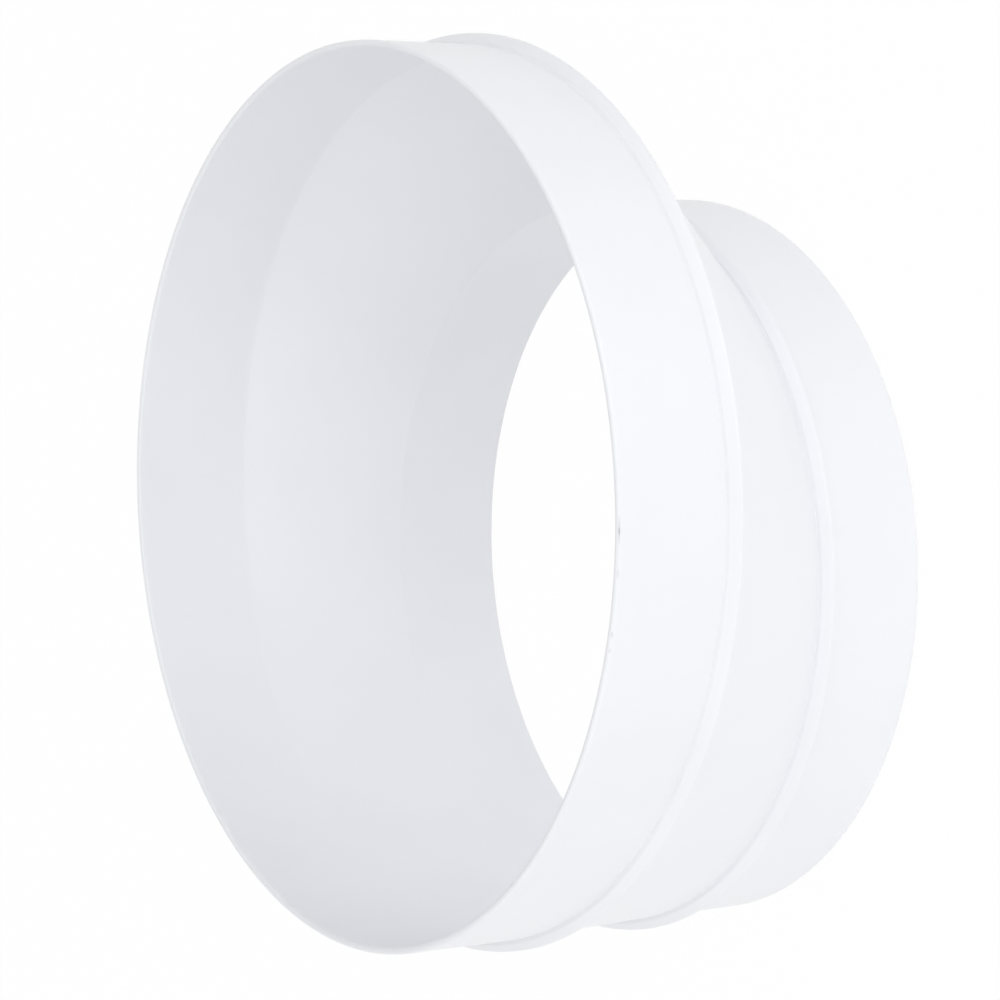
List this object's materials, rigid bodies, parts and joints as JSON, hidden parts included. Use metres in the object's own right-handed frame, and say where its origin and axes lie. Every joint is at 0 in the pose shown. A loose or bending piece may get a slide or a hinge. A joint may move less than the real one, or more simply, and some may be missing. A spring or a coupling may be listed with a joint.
{
  "type": "eccentric duct reducer",
  "caption": "Thin-walled eccentric duct reducer: a large and a small spigot on offset axes, a stop bead on each, and a slanted cone that keeps one side straight.",
  "frame": {"origin": "on the large spigot's axis, at the level of the small rim that the part stands on", "axes": "+Z along the duct from the small mouth up to the large mouth; the straight side and the small spigot's offset are towards -X; the XZ plane is the mirror plane"},
  "size_m": [0.1528, 0.1528, 0.07],
  "materials": {
    "white_plastic": "satin moulded white"
  },
  "bodies": {
    "root": {"reducer_body": "white_plastic"}
  },
  "joints": []
}
